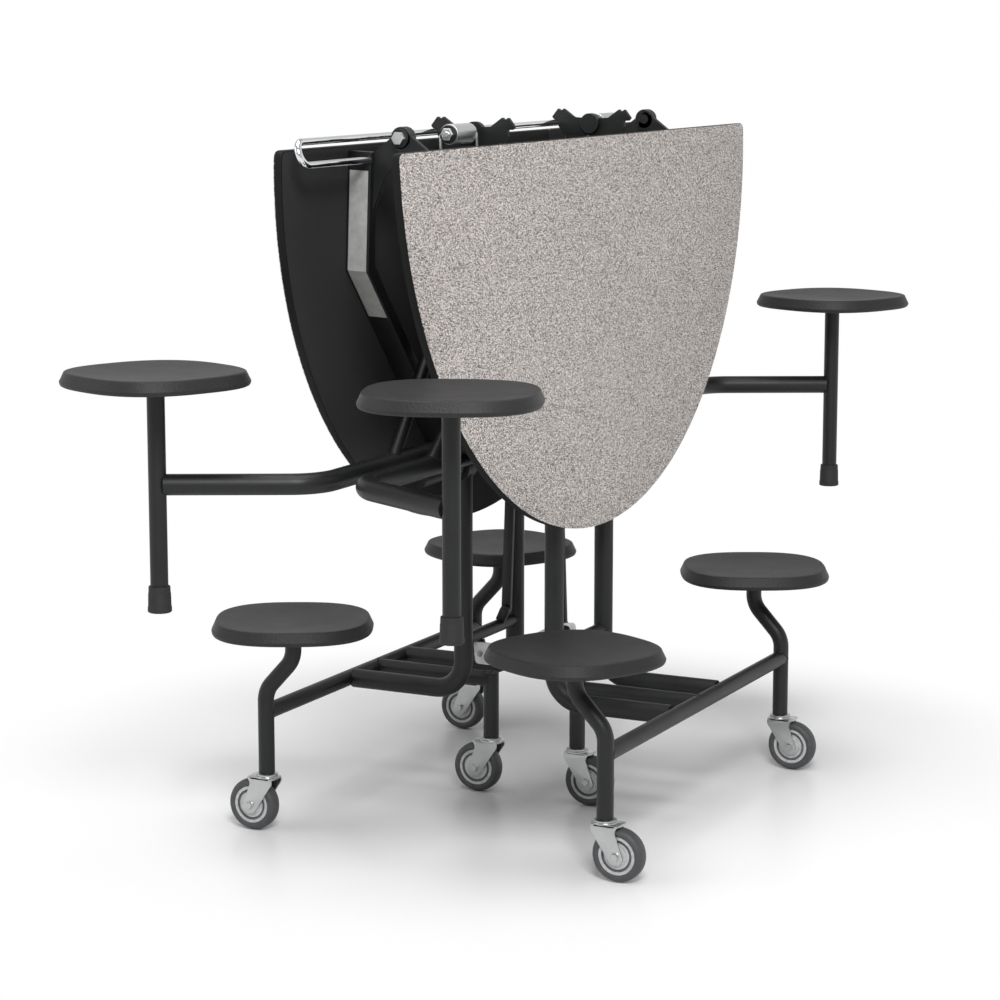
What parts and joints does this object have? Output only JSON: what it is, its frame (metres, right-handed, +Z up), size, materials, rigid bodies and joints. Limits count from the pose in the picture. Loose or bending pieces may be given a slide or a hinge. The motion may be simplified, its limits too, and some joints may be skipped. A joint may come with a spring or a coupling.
{
  "type": "mobile folding stool table",
  "caption": "Folding cafeteria table on casters: an elliptical top hinged across its middle, with fixed stools on tube arms, shown folded upright.",
  "frame": {"origin": "on the floor under the middle of the top hinge", "axes": "+Z up, +Y along the hinge line away from the lift handle's end, +X across the fold"},
  "size_m": [0.9278, 2.1652, 1.3837],
  "materials": {
    "frame_black": "satin black powder coat on steel tube",
    "seat_plastic": "charcoal moulded plastic with a fine pebble texture",
    "panel_core": "board core with a sprayed black edge and a dark backing sheet",
    "laminate_face": "warm light-grey laminate with a fine speckle",
    "chrome_rod": "bright chrome plate",
    "bright_steel": "bright steel",
    "zinc_plate": "bright zinc plate",
    "latch_plate": "light-grey coated steel plate",
    "foot_rubber": "matt black rubber",
    "wheel_tread": "grey non-marking tread on a light-grey core"
  },
  "bodies": {
    "base_left": {"base_rail_left": "frame_black", "cross_tube_left": "frame_black", "stool_stem_left_near": "frame_black", "stool_stem_left_far": "frame_black", "leg_left_near": "frame_black", "leg_left_far": "frame_black", "lower_seat_left_near": "seat_plastic", "lower_seat_left_far": "seat_plastic"},
    "top_left": {"top_panel_left": "panel_core", "laminate_left": "laminate_face", "rail_frame_left": "frame_black", "pivot_block_left": "frame_black", "hinge_sleeve_left": "bright_steel", "hinge_shaft": "frame_black", "lift_handle": "chrome_rod"},
    "upper_left": {"stool_arm_left": "frame_black", "hanger_left": "frame_black", "upper_post_left_near": "frame_black", "upper_post_left_far": "frame_black", "foot_left_near": "foot_rubber", "foot_left_far": "foot_rubber", "upper_seat_left_near": "seat_plastic", "upper_seat_left_far": "seat_plastic"},
    "link_left": {"link_left": "frame_black"},
    "base_right": {"base_rail_right": "frame_black", "cross_tube_right": "frame_black", "stool_stem_right_near": "frame_black", "stool_stem_right_far": "frame_black", "leg_right_near": "frame_black", "leg_right_far": "frame_black", "lower_seat_right_near": "seat_plastic", "lower_seat_right_far": "seat_plastic"},
    "top_right": {"top_panel_right": "panel_core", "laminate_right": "laminate_face", "rail_frame_right": "frame_black", "pivot_block_right": "frame_black", "hinge_sleeve_right": "bright_steel"},
    "upper_right": {"stool_arm_right": "frame_black", "hanger_right": "frame_black", "upper_post_right_near": "frame_black", "upper_post_right_far": "frame_black", "foot_right_near": "foot_rubber", "foot_right_far": "foot_rubber", "upper_seat_right_near": "seat_plastic", "upper_seat_right_far": "seat_plastic"},
    "link_right": {"link_right": "frame_black"},
    "latch": {"latch": "latch_plate"},
    "fork_left_near": {"caster_fork_left_near": "zinc_plate"},
    "wheel_left_near": {"caster_wheel_left_near": "wheel_tread"},
    "fork_left_far": {"caster_fork_left_far": "zinc_plate"},
    "wheel_left_far": {"caster_wheel_left_far": "wheel_tread"},
    "fork_left_middle": {"caster_fork_left_middle": "zinc_plate"},
    "wheel_left_middle": {"caster_wheel_left_middle": "wheel_tread"},
    "fork_right_near": {"caster_fork_right_near": "zinc_plate"},
    "wheel_right_near": {"caster_wheel_right_near": "wheel_tread"},
    "fork_right_far": {"caster_fork_right_far": "zinc_plate"},
    "wheel_right_far": {"caster_wheel_right_far": "wheel_tread"},
    "fork_right_middle": {"caster_fork_right_middle": "zinc_plate"},
    "wheel_right_middle": {"caster_wheel_right_middle": "wheel_tread"}
  },
  "joints": [
    {"name": "fold", "type": "hinge", "parent": "base_left", "child": "top_left", "pos_m": [-0.10027, 0, 0.6898], "axis": [0, 1, 0], "range_deg": [0, 88], "stiffness_Nm_per_rad": 10, "springref_deg": -34.38},
    {"name": "top_hinge", "type": "hinge", "parent": "top_left", "child": "top_right", "pos_m": [0, 0, 1.35471], "axis": [0, 1, 0], "range_deg": [-176, 0]},
    {"name": "base_right_pivot", "type": "hinge", "parent": "top_right", "child": "base_right", "pos_m": [0.10027, 0, 0.6898], "axis": [0, 1, 0], "range_deg": [0, 88]},
    {"name": "upper_left_pivot", "type": "hinge", "parent": "top_left", "child": "upper_left", "pos_m": [-0.08176, 0, 1.2198], "axis": [0, 1, 0], "range_deg": [-88, 0]},
    {"name": "upper_right_pivot", "type": "hinge", "parent": "top_right", "child": "upper_right", "pos_m": [0.08176, 0, 1.2198], "axis": [0, 1, 0], "range_deg": [0, 88]},
    {"name": "link_left_pivot", "type": "hinge", "parent": "base_left", "child": "link_left", "pos_m": [-0.0846, 0.046, 0.374], "axis": [0, 1, 0], "range_deg": [0, 88]},
    {"name": "link_right_pivot", "type": "hinge", "parent": "base_right", "child": "link_right", "pos_m": [0.0846, -0.046, 0.374], "axis": [0, 1, 0], "range_deg": [-88, 0]},
    {"name": "latch_swing", "type": "hinge", "parent": "base_left", "child": "latch", "pos_m": [-0.092, -0.056, 0.302], "axis": [0, 1, 0], "range_deg": [-15, 7]},
    {"name": "swivel_left_near", "type": "hinge", "parent": "base_left", "child": "fork_left_near", "pos_m": [-0.362, -0.447, 0.1165], "axis": [0, 0, 1], "continuous": true},
    {"name": "roll_left_near", "type": "hinge", "parent": "fork_left_near", "child": "wheel_left_near", "pos_m": [-0.391, -0.447, 0.0508], "axis": [0, 1, 0], "continuous": true},
    {"name": "swivel_left_far", "type": "hinge", "parent": "base_left", "child": "fork_left_far", "pos_m": [-0.362, 0.447, 0.1165], "axis": [0, 0, 1], "continuous": true},
    {"name": "roll_left_far", "type": "hinge", "parent": "fork_left_far", "child": "wheel_left_far", "pos_m": [-0.391, 0.447, 0.0508], "axis": [0, 1, 0], "continuous": true},
    {"name": "swivel_left_middle", "type": "hinge", "parent": "base_left", "child": "fork_left_middle", "pos_m": [-0.097, 0, 0.1165], "axis": [0, 0, 1], "continuous": true},
    {"name": "roll_left_middle", "type": "hinge", "parent": "fork_left_middle", "child": "wheel_left_middle", "pos_m": [-0.126, 0, 0.0508], "axis": [0, 1, 0], "continuous": true},
    {"name": "swivel_right_near", "type": "hinge", "parent": "base_right", "child": "fork_right_near", "pos_m": [0.362, -0.447, 0.1165], "axis": [0, 0, 1], "continuous": true},
    {"name": "roll_right_near", "type": "hinge", "parent": "fork_right_near", "child": "wheel_right_near", "pos_m": [0.391, -0.447, 0.0508], "axis": [0, 1, 0], "continuous": true},
    {"name": "swivel_right_far", "type": "hinge", "parent": "base_right", "child": "fork_right_far", "pos_m": [0.362, 0.447, 0.1165], "axis": [0, 0, 1], "continuous": true},
    {"name": "roll_right_far", "type": "hinge", "parent": "fork_right_far", "child": "wheel_right_far", "pos_m": [0.391, 0.447, 0.0508], "axis": [0, 1, 0], "continuous": true},
    {"name": "swivel_right_middle", "type": "hinge", "parent": "base_right", "child": "fork_right_middle", "pos_m": [0.097, 0, 0.1165], "axis": [0, 0, 1], "continuous": true},
    {"name": "roll_right_middle", "type": "hinge", "parent": "fork_right_middle", "child": "wheel_right_middle", "pos_m": [0.126, 0, 0.0508], "axis": [0, 1, 0], "continuous": true}
  ],
  "couplings": [
    {"joint": "top_hinge", "follows": "fold", "ratio": -2},
    {"joint": "base_right_pivot", "follows": "fold", "ratio": 1},
    {"joint": "upper_left_pivot", "follows": "fold", "ratio": -1},
    {"joint": "upper_right_pivot", "follows": "fold", "ratio": 1},
    {"joint": "link_left_pivot", "follows": "fold", "ratio": 1},
    {"joint": "link_right_pivot", "follows": "fold", "ratio": -1}
  ]
}
